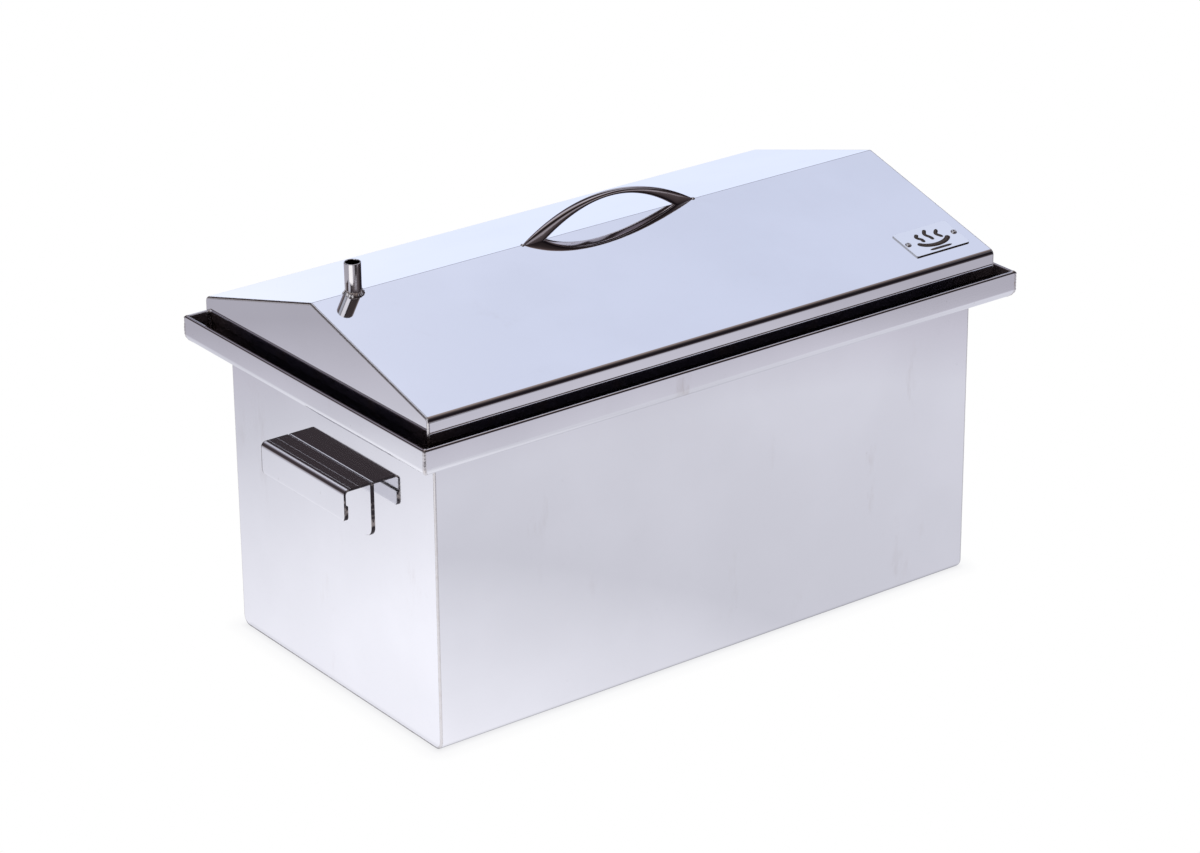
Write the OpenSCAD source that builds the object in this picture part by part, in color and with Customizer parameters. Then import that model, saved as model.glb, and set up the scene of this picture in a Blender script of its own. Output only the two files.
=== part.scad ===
// Stovetop hot smoker: a sheet-steel box with a water-seal gutter and a lift-off gable lid.
// Millimetres. Origin at the middle of the box's underside, +X along the long side,
// -Y towards the front (the side with the nameplate), +Z up.

/* [Box] */
// Outside length of the box
box_l = 500; // [460:5:560]
// Outside width of the box, front to back
box_w = 266; // [250:2:300]
// Height of the box walls above the surface it stands on
box_h = 256; // [250:1:300]
// Thickness of the steel sheet
sheet = 1.5; // [1.2:0.1:2]
// Outer radius of the bends along the bottom
bottom_bend = 8; // [4:0.5:12]

/* [Water-seal gutter] */
// Distance from the top edge of the box down to the underside of the gutter
gutter_drop = 24; // [20:1:40]
// Height of the gutter from its underside to its rim
gutter_h = 21.5; // [18:0.5:30]
// How far the gutter stands out from the box wall
gutter_out = 24.7; // [22:0.1:30]
// Outer radius of the bend between gutter floor and gutter wall
gutter_bend = 7; // [4:0.5:9]
// Depth of the folded hem behind the gutter rim
hem_h = 8; // [5:0.5:10]

/* [Lid] */
// Distance from the box wall to the outer face of the lid skirt
skirt_out = 12.5; // [10:0.1:14]
// Height of the lid skirt, from the gutter floor to the eave
skirt_h = 36; // [32:1:50]
// Rise of the ridge above the eaves
ridge_rise = 40.7; // [30:0.1:60]
// Outer radius of the eave and ridge bends
lid_bend = 3.3; // [2.5:0.1:6]

/* [Lid handle] */
// Length of the bow handle, tip to tip
bow_l = 159.5; // [120:0.5:180]
// Length of the finger gap under the bow, at ridge level
bow_gap_l = 119.4; // [90:0.1:130]
// Height of the bow above the ridge
bow_h = 24.4; // [20:0.1:32]
// Thickness of the bow at its middle
bow_t = 3.4; // [2.5:0.1:5]
// Width of the bow
bow_w = 6; // [5:0.5:12]
// Distance of the bow's middle to the right of the lid's middle
bow_x = 4.4; // [-10:0.1:10]

/* [Smoke spigot] */
// Outside diameter of the spigot tube
spigot_d = 12.7; // [10:0.1:16]
// Wall thickness of the spigot tube
spigot_wall = 1; // [0.8:0.1:1.5]
// Height of the spigot above the ridge
spigot_h = 22.8; // [18:0.1:40]
// Distance of the spigot's axis from the left side of the box
spigot_inset = 24.5; // [20:0.5:60]

/* [Nameplate] */
// Length of the nameplate
plate_l = 52.8; // [40:0.1:70]
// Width of the nameplate, up the slope
plate_w = 31; // [20:0.5:40]
// Distance from the eave up the slope to the nameplate
plate_up = 16.5; // [10:0.5:30]
// Distance from the middle of the lid to the nameplate's left edge
plate_x = 198.5; // [100:0.5:200]

/* [Carry handles] */
// Length of each carry handle
carry_l = 110; // [90:1:130]
// Height of the top face of the carry handles above the surface
carry_z = 185.5; // [170:0.5:200]
// How far the carry handles stand out from the end walls
carry_out = 24.3; // [20:0.1:24.6]
// Depth of the outer leg that the fingers hook behind
carry_leg = 25; // [20:1:34]
// Height of the flange that lies on the end wall
carry_flange = 44; // [40:1:60]

/* [Racks] */
// Height of the top of the upper ledges
upper_ledge_z = 172; // [150:1:180]
// Height of the top of the lower ledges
lower_ledge_z = 90; // [80:1:100]
// Diameter of the rack frame rod
frame_d = 5; // [4:0.5:6]
// Diameter of the rack wires
wire_d = 3; // [2:0.5:3]
// Target spacing of the rack wires
wire_pitch = 20; // [12:1:30]

/* [Drip tray] */
// Height of the tray legs
tray_leg_h = 25; // [20:1:30]
// Depth of the tray
tray_h = 14; // [10:1:18]

/* [Hidden] */
$fn = 96;

steel = [0.80, 0.81, 0.84];
weld_grey = [0.55, 0.53, 0.52];
dark_steel = [0.32, 0.29, 0.29];
wire_steel = [0.70, 0.71, 0.73];

// Gutter heights, and the gap ground out of each mitre for its weld
gutter_z = box_h - gutter_drop;
gutter_floor = gutter_z + sheet;
rim_z = gutter_z + gutter_h;
mitre_gap = 1;
gutter_corner_r = 2.5;
seam_fillet = 2;
bead_steps = 3;
// Bend circles are drawn this much too large; cutting shapes run this far past the cut
oversize = 0.01;
overrun = 1;

// Lid outline
lid_l = box_l + 2 * skirt_out;
lid_w = box_w + 2 * skirt_out;
eave_z = gutter_floor + skirt_h;
ridge_z = eave_z + ridge_rise;
slope = atan(ridge_rise / (lid_w / 2));

// Spigot: the tube narrows to a shank where it passes through the roof; its weld is a collar
// that reaches down both slopes and flares outwards
spigot_x = spigot_inset - box_l / 2;
spigot_collar_h = 2;
spigot_below = 8;
shank_narrowing = 0.7;
shank_d = spigot_d - shank_narrowing;
collar_spread = 2;
collar_drop = 3;
collar_flare = 1.5;

// Nameplate and its blind rivets
plate_t = 1;
plate_corner = 1.5;
rivet_d = 3.2;
rivet_head_d = 5;
rivet_head_h = 1.2;
rivet_tail_d = 4.6;
rivet_inset = 3.5;

// Carry handles: bend radius, folded hem, rounded corners, small offset to the back
carry_bend = 4;
carry_hem = 12;
carry_flange_r = 8;
carry_leg_r = 4;
carry_y = 1.4;

// Rack ledges: the lower ones reach further in, so each rack lifts past the ledges above it
ledge_l = 200;
ledge_leg = 12;
ledge_bend = 2.5;
upper_ledge_in = 12;
lower_ledge_in = 24;
inner_l = box_l - 2 * sheet;
inner_w = box_w - 2 * sheet;

// Racks
rack_side_gap = 6.5;
upper_rack_end_gap = 5;
lower_rack_end_gap = 6;
rack_w = inner_w - 2 * rack_side_gap;
upper_rack_l = inner_l - 2 * upper_rack_end_gap;
lower_rack_l = inner_l - 2 * (upper_ledge_in + lower_rack_end_gap);
frame_corner = 10;
stiffener_d = 4;
wire_margin = 15;
wire_end_inset = 1;
grip_d = 4;
grip_half = 40;
grip_h = 28;
grip_corner = 8;

// Drip tray
tray_end_gap = 6;
tray_side_gap = 13;
tray_l = inner_l - 2 * (lower_ledge_in + tray_end_gap);
tray_w = inner_w - 2 * tray_side_gap;
tray_t = 1;
tray_lip = 3;
tray_corner = 12;
tray_z = sheet + tray_leg_h;
tray_leg_x = 150;
tray_leg_y = 90;
tray_leg_w = 20;
tray_leg_bend = 3;
tray_grip_half = 35;
tray_grip_h = 38;

// ---- Folded sheet, drawn from its outer face ----
// A path lists the corners of the outer face in order. The sheet lies to the left of the path
// and every corner turns left.

function unit(v) = v / norm(v);
function heading(path, i) = unit(path[i + 1] - path[i]);
function left_of(d) = [-d[1], d[0]];
function turn(path, i) = acos(heading(path, i - 1) * heading(path, i));
// Length that the bend at corner i takes from each straight; none at the two ends
function set_back(path, i, r) = i == 0 || i == len(path) - 1 ? 0 : r * tan(turn(path, i) / 2);
function seg_start(path, i, r) = path[i] + set_back(path, i, r) * heading(path, i);
function seg_end(path, i, r) = path[i + 1] - set_back(path, i + 1, r) * heading(path, i);
function bend_centre(path, i, r) = seg_end(path, i - 1, r) + r * left_of(heading(path, i - 1));
function bend_start(path, i) = atan2(heading(path, i - 1)[1], heading(path, i - 1)[0]) - 90;

// Section of a sheet folded along a path with outer bend radius r
module folded_section(path, r) {
    for (i = [0 : len(path) - 2]) {
        s = seg_start(path, i, r);
        e = seg_end(path, i, r);
        n = sheet * left_of(heading(path, i));
        polygon([s, e, e + n, s + n]);
    }
    for (i = [1 : len(path) - 2]) {
        half = turn(path, i) / 2;
        translate(bend_centre(path, i, r)) rotate(bend_start(path, i)) intersection() {
            difference() {
                circle(r);
                circle(r - sheet);
            }
            polygon([[0, 0], [2 * r, 0], 3 * r * [cos(half), sin(half)],
                     2 * r * [cos(2 * half), sin(2 * half)]]);
        }
    }
}

// Area enclosed by a folded sheet's face at a given depth below its outer face. The bend
// circles are a hair oversize, so that they cross the straights instead of only touching them.
module enclosed_area(path, r, depth) {
    last = len(path) - 1;
    corners = [for (i = [0 : last - 1]) let (n = depth * left_of(heading(path, i)))
        each [seg_start(path, i, r) + n, seg_end(path, i, r) + n]];
    polygon(corners);
    for (i = [1 : last - 1]) translate(bend_centre(path, i, r)) circle(r - depth + oversize);
}

// Outline of the flat plate that closes the end of a folded sheet
module filling_outline(path, r) { enclosed_area(path, r, sheet); }

// Section of a folded sheet whose two free edges stand at one height, such as a hood.
// The outer face may be cut back by a depth.
module hood_section(path, r, depth = 0) {
    difference() {
        enclosed_area(path, r, depth);
        enclosed_area(path, r, sheet);
    }
}

// Corner weld that fills the edge between a folded sheet and its end plate, rounded in steps
module seam_bead(path, r) {
    step = sheet / bead_steps;
    for (k = [0 : bead_steps - 1])
        translate([0, 0, k * step]) linear_extrude(step)
            hood_section(path, r, sheet * (1 - cos(asin((k + 0.5) / bead_steps))));
}

// ---- Placing helpers ----

// Extrudes a Y-Z section along X, centred
module along_x(l) { rotate([90, 0, 90]) linear_extrude(l, center = true) children(); }
// Extrudes an X-Z section along Y, centred
module along_y(l) { rotate([90, 0, 0]) linear_extrude(l, center = true) children(); }
// Turns a piece drawn in the Y-Z plane with its thickness upwards so it faces +X at x
module facing_x(x) { translate([x, 0, 0]) rotate([90, 0, 90]) children(); }
// Repeats a piece at +X and mirrored at -X
module both_ends() {
    children();
    mirror([1, 0, 0]) children();
}

module rounded_rect(l, w, r) {
    square([l, w - 2 * r], center = true);
    square([l - 2 * r, w], center = true);
    for (x = [-1, 1], y = [-1, 1]) translate([x * (l / 2 - r), y * (w / 2 - r)]) circle(r);
}

// Straight rod between two points that differ along one axis or in one plane
module rod(from, to, d) {
    v = to - from;
    flat = norm([v[0], v[1]]);
    translate(from) rotate([0, atan2(flat, v[2]), atan2(v[1], v[0])])
        cylinder(d = d, h = norm(v));
}

// ---- Box ----

wrap_path = [[-box_w / 2, box_h], [-box_w / 2, 0], [box_w / 2, 0], [box_w / 2, box_h]];

module body_wrap() {
    color(steel) along_x(inner_l) folded_section(wrap_path, bottom_bend);
}

module end_plate() {
    facing_x(inner_l / 2) linear_extrude(sheet) filling_outline(wrap_path, bottom_bend);
}

module left_end_plate() { color(steel) mirror([1, 0, 0]) end_plate(); }
module right_end_plate() { color(steel) end_plate(); }

module body_seam_welds() {
    color(weld_grey) both_ends() facing_x(inner_l / 2) seam_bead(wrap_path, bottom_bend);
}

// ---- Water-seal gutter ----

// Section of the gutter, measured outwards from the box wall
module gutter_section() {
    folded_section([[0, gutter_z], [gutter_out, gutter_z], [gutter_out, rim_z - sheet]],
                   gutter_bend);
    // The rim is folded back inside as a closed hem
    translate([gutter_out - sheet, rim_z - sheet]) circle(sheet);
    translate([gutter_out - 2 * sheet, rim_z - hem_h]) square([sheet, hem_h - sheet]);
}

// Plan of one mitred side: along is the box side it runs on, across the other one
module mitre_plan(along, across, gap) {
    inner = along / 2 - gap;
    outer = along / 2 + gutter_out - gap;
    polygon([[-inner, across / 2], [inner, across / 2],
             [outer, across / 2 + gutter_out], [-outer, across / 2 + gutter_out]]);
}

// One side's section, run along X on the +Y side of a box and cut to its mitres
module mitred_side(along, across, gap) {
    intersection() {
        along_x(along + 2 * gutter_out) translate([across / 2, 0]) children();
        linear_extrude(box_h) mitre_plan(along, across, gap);
    }
}

module long_side(gap) { mitred_side(box_l, box_w, gap) children(); }
module short_side(gap) { rotate([0, 0, -90]) mitred_side(box_w, box_l, gap) children(); }

module gutter_front() { color(steel) mirror([0, 1, 0]) long_side(mitre_gap) gutter_section(); }
module gutter_back() { color(steel) long_side(mitre_gap) gutter_section(); }
module gutter_left() { color(steel) mirror([1, 0, 0]) short_side(mitre_gap) gutter_section(); }
module gutter_right() { color(steel) short_side(mitre_gap) gutter_section(); }

// All four sides of a section round the box, closed at the mitres
module gutter_ring() {
    for (side = [0, 1]) mirror([0, side, 0]) long_side(0) children();
    for (side = [0, 1]) mirror([side, 0, 0]) short_side(0) children();
}

// Plan of the strip that the mitre weld fills at the corner towards +X +Y
module mitre_strip_plan() {
    x = box_l / 2;
    y = box_w / 2;
    polygon([[x, y], [x - mitre_gap, y], [x + gutter_out - mitre_gap, y + gutter_out],
             [x + gutter_out, y + gutter_out], [x + gutter_out, y + gutter_out - mitre_gap],
             [x, y - mitre_gap]]);
}

module gutter_corner_welds() {
    color(weld_grey) intersection() {
        gutter_ring() gutter_section();
        linear_extrude(box_h) for (x = [0, 1], y = [0, 1])
            mirror([x, 0]) mirror([0, y]) mitre_strip_plan();
        linear_extrude(box_h)
            rounded_rect(box_l + 2 * gutter_out, box_w + 2 * gutter_out, gutter_corner_r);
    }
}

// Fillet that seals the gutter floor to the box wall
module gutter_seam_welds() {
    color(weld_grey) gutter_ring()
        translate([0, gutter_floor]) polygon([[0, 0], [seam_fillet, 0], [0, seam_fillet]]);
}

// ---- Carry handles ----

// Section measured outwards from the end wall: flange, top plate and hemmed outer leg
module carry_section() {
    leg_foot = carry_z - carry_leg;
    folded_section([[carry_out, leg_foot + sheet], [carry_out, carry_z], [0, carry_z],
                    [0, carry_z - carry_flange]], carry_bend);
    translate([carry_out - sheet, leg_foot + sheet]) circle(sheet);
    translate([carry_out - 2 * sheet, leg_foot + sheet]) square([sheet, carry_hem - sheet]);
}

// Side view of the handle: two tabs with rounded lower corners, one in front of the other
module carry_tab(foot_z, r) {
    translate([0, (carry_z + foot_z) / 2]) rounded_rect(carry_l, carry_z - foot_z, r);
    translate([-carry_l / 2, carry_z - 2 * r]) square([carry_l, 2 * r]);
}

module carry_handle() {
    split = carry_out / 2;
    translate([box_l / 2, carry_y, 0]) intersection() {
        along_y(carry_l) carry_section();
        union() {
            facing_x(0) linear_extrude(split) carry_tab(carry_z - carry_flange, carry_flange_r);
            facing_x(split) linear_extrude(split) carry_tab(carry_z - carry_leg, carry_leg_r);
        }
    }
}

module left_carry_handle() { color(steel) mirror([1, 0, 0]) carry_handle(); }
module right_carry_handle() { color(steel) carry_handle(); }

// ---- Rack ledges ----

module ledge(top_z, reach) {
    translate([-inner_l / 2, 0, 0]) along_y(ledge_l)
        folded_section([[reach, top_z], [0, top_z], [0, top_z - ledge_leg]], ledge_bend);
}

module left_upper_ledge() { color(steel) ledge(upper_ledge_z, upper_ledge_in); }
module left_lower_ledge() { color(steel) ledge(lower_ledge_z, lower_ledge_in); }
module right_upper_ledge() {
    color(steel) mirror([1, 0, 0]) ledge(upper_ledge_z, upper_ledge_in);
}
module right_lower_ledge() {
    color(steel) mirror([1, 0, 0]) ledge(lower_ledge_z, lower_ledge_in);
}

// ---- Lid ----

lid_path = [[lid_w / 2, gutter_floor], [lid_w / 2, eave_z], [0, ridge_z],
            [-lid_w / 2, eave_z], [-lid_w / 2, gutter_floor]];
lid_inner_l = lid_l - 2 * sheet;

// The space below the roof's outer faces, for trimming what stands on the roof
module under_roof() { along_x(lid_l) polygon(lid_path); }

// Frame of the front slope: X along the lid, Y up the slope from the eave, Z out of the sheet
module on_front_slope() { translate([0, -lid_w / 2, eave_z]) rotate([slope, 0, 0]) children(); }

module at_rivets() {
    for (x = [rivet_inset, plate_l - rivet_inset])
        on_front_slope() translate([plate_x + x, plate_up + plate_w / 2, 0]) children();
}

module lid_roof() {
    color(steel) difference() {
        along_x(lid_inner_l) hood_section(lid_path, lid_bend);
        translate([spigot_x, 0, eave_z]) cylinder(d = shank_d, h = ridge_rise + overrun);
        at_rivets() cylinder(d = rivet_d, h = 4 * sheet, center = true);
    }
}

module lid_gable() {
    facing_x(lid_inner_l / 2) linear_extrude(sheet) filling_outline(lid_path, lid_bend);
}

module lid_gable_left() { color(steel) mirror([1, 0, 0]) lid_gable(); }
module lid_gable_right() { color(steel) lid_gable(); }

module lid_seam_welds() {
    color(weld_grey) both_ends() facing_x(lid_inner_l / 2) seam_bead(lid_path, lid_bend);
}

// ---- Lid handle ----

// Radius of an arc from its chord and its height
function arc_radius(chord, h) = (chord * chord / 4 + h * h) / (2 * h);
bow_r = arc_radius(bow_l, bow_h);
bow_gap_h = bow_h - bow_t;
bow_gap_r = arc_radius(bow_gap_l, bow_gap_h);
bow_crown = 1.5;
bow_crown_r = arc_radius(bow_w, bow_crown);
bow_bead_r = 1.8;

// Crescent with a crowned outer face, its feet cut to straddle the ridge
module bow() {
    translate([bow_x, 0, ridge_z]) difference() {
        translate([0, 0, bow_h - bow_r]) rotate([90, 0, 0]) rotate_extrude($fn = 180)
            intersection() {
                translate([bow_gap_r / 2, -bow_w / 2]) square([bow_r, bow_w]);
                union() {
                    translate([0, -bow_w / 2]) square([bow_r - bow_crown_r, bow_w]);
                    translate([bow_r - bow_crown_r, 0]) circle(bow_crown_r);
                }
            }
        translate([0, 0, bow_gap_h - bow_gap_r]) rotate([90, 0, 0])
            cylinder(r = bow_gap_r, h = 2 * bow_w, center = true, $fn = 180);
        translate([0, 0, -bow_w - 2 * bow_r]) cube(4 * bow_r, center = true);
    }
}

module lid_handle() {
    color(dark_steel) difference() {
        bow();
        under_roof();
    }
}

module lid_handle_welds() {
    color(weld_grey) difference() {
        for (side = [-1, 1])
            translate([bow_x + side * bow_l / 2, 0, ridge_z]) sphere(bow_bead_r, $fn = 32);
        bow();
        under_roof();
    }
}

// ---- Smoke spigot ----

module smoke_spigot() {
    color(dark_steel) translate([spigot_x, 0, ridge_z]) difference() {
        union() {
            translate([0, 0, spigot_collar_h])
                cylinder(d = spigot_d, h = spigot_h - spigot_collar_h);
            translate([0, 0, -spigot_below])
                cylinder(d = shank_d, h = spigot_below + spigot_collar_h);
        }
        translate([0, 0, -spigot_below - overrun])
            cylinder(d = spigot_d - 2 * spigot_wall, h = spigot_below + spigot_h + 2 * overrun);
    }
}

module spigot_weld() {
    color(weld_grey) difference() {
        translate([spigot_x, 0, ridge_z - collar_drop])
            cylinder(d1 = spigot_d + 2 * collar_spread + collar_flare, d2 = spigot_d,
                     h = collar_drop + spigot_collar_h);
        translate([spigot_x, 0, eave_z]) cylinder(d = shank_d, h = 2 * ridge_rise);
        under_roof();
    }
}

// ---- Nameplate ----

module nameplate() {
    color(steel) difference() {
        on_front_slope() translate([plate_x + plate_l / 2, plate_up + plate_w / 2, 0])
            linear_extrude(plate_t) rounded_rect(plate_l, plate_w, plate_corner);
        at_rivets() cylinder(d = rivet_d, h = 4 * plate_t, center = true);
    }
}

module rivet() {
    dome_r = arc_radius(rivet_head_d, rivet_head_h);
    translate([0, 0, plate_t]) intersection() {
        translate([0, 0, rivet_head_h - dome_r]) sphere(dome_r);
        cylinder(d = rivet_head_d, h = rivet_head_h);
    }
    translate([0, 0, -sheet]) cylinder(d = rivet_d, h = sheet + plate_t);
    translate([0, 0, -sheet - rivet_head_h]) cylinder(d = rivet_tail_d, h = rivet_head_h);
}

module nameplate_rivets() { color(weld_grey) at_rivets() rivet(); }

// ---- Racks ----

module rod_ring(l, w, r, d) {
    for (y = [-1, 1]) rod([r - l / 2, y * w / 2, 0], [l / 2 - r, y * w / 2, 0], d);
    for (x = [-1, 1]) rod([x * l / 2, r - w / 2, 0], [x * l / 2, w / 2 - r, 0], d);
    for (q = [0 : 3]) {
        side = q == 0 || q == 3 ? 1 : -1;
        up = q < 2 ? 1 : -1;
        translate([side * (l / 2 - r), up * (w / 2 - r), 0]) rotate(90 * q)
            rotate_extrude(angle = 90) translate([r, 0]) circle(d = d);
    }
}

// Frame of a rack whose rod rests on ledges at rest_z, with two stiffeners along it
module rack_frame(l, rest_z) {
    translate([0, 0, rest_z + frame_d / 2]) {
        rod_ring(l - frame_d, rack_w - frame_d, frame_corner, frame_d);
        for (y = [-1, 1]) translate([0, y * rack_w / 6, (frame_d - stiffener_d) / 2])
            rod([frame_d / 2 - l / 2, 0, 0], [l / 2 - frame_d / 2, 0, 0], stiffener_d);
    }
}

module rack_wires(l, rest_z) {
    span = l - 2 * wire_margin;
    bays = round(span / wire_pitch);
    end_y = rack_w / 2 - wire_end_inset;
    z = rest_z + frame_d + wire_d / 2;
    for (i = [0 : bays]) let (x = i * span / bays - span / 2)
        rod([x, -end_y, z], [x, end_y, z], wire_d);
}

// Upright loop of rod in the Y-Z plane, with its feet at z = 0
module grip_loop(half, h) {
    r = grip_corner;
    for (side = [0, 1]) mirror([0, side, 0]) {
        rod([0, half, 0], [0, half, h - r], grip_d);
        translate([0, half - r, h - r]) rotate([90, 0, 90])
            rotate_extrude(angle = 90) translate([r, 0]) circle(d = grip_d);
    }
    rod([0, r - half, h], [0, half - r, h], grip_d);
}

module rack_grips(l, rest_z) {
    x = (l - frame_d) / 2;
    z = rest_z + frame_d / 2;
    difference() {
        both_ends() translate([x, 0, z]) grip_loop(grip_half, grip_h);
        both_ends() rod([x, -rack_w / 2, z], [x, rack_w / 2, z], frame_d);
    }
}

module upper_rack_frame() { color(wire_steel) rack_frame(upper_rack_l, upper_ledge_z); }
module upper_rack_wires() { color(wire_steel) rack_wires(upper_rack_l, upper_ledge_z); }
module upper_rack_grips() { color(wire_steel) rack_grips(upper_rack_l, upper_ledge_z); }
module lower_rack_frame() { color(wire_steel) rack_frame(lower_rack_l, lower_ledge_z); }
module lower_rack_wires() { color(wire_steel) rack_wires(lower_rack_l, lower_ledge_z); }
module lower_rack_grips() { color(wire_steel) rack_grips(lower_rack_l, lower_ledge_z); }

// ---- Drip tray ----

module tray_inside() {
    rounded_rect(tray_l - 2 * tray_t, tray_w - 2 * tray_t, tray_corner - tray_t);
}

module drip_tray_floor() {
    color(steel) translate([0, 0, tray_z]) linear_extrude(tray_t) tray_inside();
}

// Walls round the floor, turned out along their top
module drip_tray_rim() {
    color(steel) translate([0, 0, tray_z]) {
        linear_extrude(tray_h) difference() {
            rounded_rect(tray_l, tray_w, tray_corner);
            tray_inside();
        }
        translate([0, 0, tray_h - tray_t]) linear_extrude(tray_t) difference() {
            rounded_rect(tray_l + 2 * tray_lip, tray_w + 2 * tray_lip, tray_corner + tray_lip);
            tray_inside();
        }
    }
}

// Two folded straps across the underside, standing on the box floor
module drip_tray_legs() {
    color(steel) for (x = [-tray_leg_x, tray_leg_x]) translate([x, 0, 0]) along_x(tray_leg_w)
        folded_section([[tray_leg_y, sheet], [tray_leg_y, tray_z], [-tray_leg_y, tray_z],
                        [-tray_leg_y, sheet]], tray_leg_bend);
}

module drip_tray_grips() {
    x = tray_l / 2 - tray_t - grip_d / 2;
    color(wire_steel) both_ends()
        translate([x, 0, tray_z + tray_t]) grip_loop(tray_grip_half, tray_grip_h);
}

body_wrap();
left_end_plate();
right_end_plate();
body_seam_welds();
gutter_front();
gutter_back();
gutter_left();
gutter_right();
gutter_corner_welds();
gutter_seam_welds();
left_carry_handle();
right_carry_handle();
left_upper_ledge();
right_upper_ledge();
left_lower_ledge();
right_lower_ledge();
lid_roof();
lid_gable_left();
lid_gable_right();
lid_seam_welds();
lid_handle();
lid_handle_welds();
smoke_spigot();
spigot_weld();
nameplate();
nameplate_rivets();
upper_rack_frame();
upper_rack_wires();
upper_rack_grips();
lower_rack_frame();
lower_rack_wires();
lower_rack_grips();
drip_tray_floor();
drip_tray_rim();
drip_tray_legs();
drip_tray_grips();
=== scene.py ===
"""Looks of a stovetop hot smoker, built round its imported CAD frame.

Metres, in the row frame: +X along the box, -Y the front, Z up from the surface it stands on.
"""

import math

import bmesh
import bpy
from mathutils import Matrix, Vector, noise


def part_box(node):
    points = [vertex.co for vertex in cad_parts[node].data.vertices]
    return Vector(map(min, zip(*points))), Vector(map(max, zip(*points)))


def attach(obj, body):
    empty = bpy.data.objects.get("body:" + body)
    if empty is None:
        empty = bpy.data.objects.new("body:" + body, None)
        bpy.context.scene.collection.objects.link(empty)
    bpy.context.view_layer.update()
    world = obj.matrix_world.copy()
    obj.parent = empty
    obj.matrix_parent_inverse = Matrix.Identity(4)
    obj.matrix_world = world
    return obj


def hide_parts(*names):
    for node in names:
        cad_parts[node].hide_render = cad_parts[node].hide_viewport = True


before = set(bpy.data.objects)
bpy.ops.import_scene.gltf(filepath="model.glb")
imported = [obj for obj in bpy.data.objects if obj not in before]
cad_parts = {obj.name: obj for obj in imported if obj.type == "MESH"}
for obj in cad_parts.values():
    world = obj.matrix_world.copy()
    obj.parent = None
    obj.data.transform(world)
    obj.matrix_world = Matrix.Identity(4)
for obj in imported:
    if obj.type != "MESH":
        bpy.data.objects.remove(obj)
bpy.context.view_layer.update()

MM = 0.001

# ---- Camera: where the object is looked at from ----
CAMERA_AT = Vector((-1.6709, -2.2310, 1.3659))
CAMERA_YAW = 36.739  # degrees from +Y towards +X
CAMERA_PITCH = 23.68  # degrees down
CAMERA_ROLL = -0.475
CAMERA_LENS = 119.23  # mm, on a 36 mm sensor

# ---- Sheet and bends ----
SHEET = 1.5 * MM
BEND_STEPS = 10
BOTTOM_BEND = 8 * MM
GUTTER_BEND = 7 * MM
EAVE_BEND = 4.5 * MM
RIDGE_BEND = 1.7 * MM
EDGE_ROUND = 0.25 * MM
HEM_R = 1.6 * MM
HEM_DEPTH = 8 * MM
MITRE_GAP = 1 * MM
SKIRT_H = 36 * MM  # from the lid's foot to its eave
RIDGE_RISE = 40.7 * MM  # from the eave to the ridge
LEG_H = 25 * MM  # front leg of a carry handle
GRIP_BEND = 4 * MM
TAB_CORNER = 8 * MM
BOW_T = 3.4 * MM
BOW_FOOT = 20 * MM  # length of each welded foot of the bow
PLATE_L = 52.8 * MM
PLATE_W = 31 * MM
PLATE_T = 1 * MM
PLATE_UP = 16.5 * MM  # from the eave to the nameplate
WIRE_PITCH = 20 * MM
ROD_D = 5 * MM
THIN_ROD_D = 4 * MM
TRAY_T = 1 * MM
STRAP_W = 20 * MM

# ---- Colours used more than once ----
STEEL = (0.87, 0.87, 0.89, 1.0)
WHITE = (1.0, 1.0, 1.0, 1.0)

# ---- Measures taken from the frame ----
HALF_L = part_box("right_end_plate")[1].x
HALF_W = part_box("body_wrap")[1].y
BOX_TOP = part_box("body_wrap")[1].z
INNER_L = HALF_L - SHEET
GUTTER_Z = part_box("gutter_back")[0].z
RIM_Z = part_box("gutter_back")[1].z
GUTTER_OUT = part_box("gutter_back")[1].y - HALF_W
GUTTER_FLOOR = GUTTER_Z + SHEET
LID_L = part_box("lid_gable_right")[1].x
LID_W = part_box("lid_roof")[1].y
LID_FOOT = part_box("lid_roof")[0].z
EAVE_Z = LID_FOOT + SKIRT_H
RIDGE_Z = EAVE_Z + RIDGE_RISE
SLOPE = math.atan2(RIDGE_Z - EAVE_Z, LID_W)


# ======================= Geometry helpers =======================

def make_object(name, verts, faces):
    """Mesh object with its faces turned outwards."""
    mesh = bpy.data.meshes.new(name)
    mesh.from_pydata([tuple(v) for v in verts], [], faces)
    bm = bmesh.new()
    bm.from_mesh(mesh)
    bmesh.ops.recalc_face_normals(bm, faces=bm.faces)
    bm.to_mesh(mesh)
    bm.free()
    for face in mesh.polygons:
        face.use_smooth = True
    obj = bpy.data.objects.new(name, mesh)
    bpy.context.scene.collection.objects.link(obj)
    return obj


def crisp(obj, width=EDGE_ROUND, segments=2):
    """Rounds the sheet's cut edges slightly and keeps its flats flat."""
    bevel = obj.modifiers.new("edges", "BEVEL")
    bevel.width = width
    bevel.segments = segments
    bevel.limit_method = "ANGLE"
    bevel.angle_limit = math.radians(40)
    flats = obj.modifiers.new("flats", "WEIGHTED_NORMAL")
    flats.mode = "FACE_AREA"
    flats.weight = 100
    return obj


def join(name, objects):
    """One object from several, in the order given."""
    verts, faces = [], []
    for obj in objects:
        start = len(verts)
        verts += [v.co.copy() for v in obj.data.vertices]
        faces += [[start + i for i in face.vertices] for face in obj.data.polygons]
        bpy.data.objects.remove(obj)
    return make_object(name, verts, faces)


def left_of(d):
    return Vector((-d.y, d.x))


def right_of(d):
    return Vector((d.y, -d.x))


def turned(v, angle):
    c, s = math.cos(angle), math.sin(angle)
    return Vector((c * v.x - s * v.y, s * v.x + c * v.y))


def arc(centre, radius, start, sweep, steps=BEND_STEPS):
    """(point, outward normal) pairs on an arc; start is the unit vector to its first point."""
    pairs = []
    for i in range(steps + 1):
        n = turned(start, sweep * i / steps)
        pairs.append((centre + radius * n, n))
    return pairs


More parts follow.
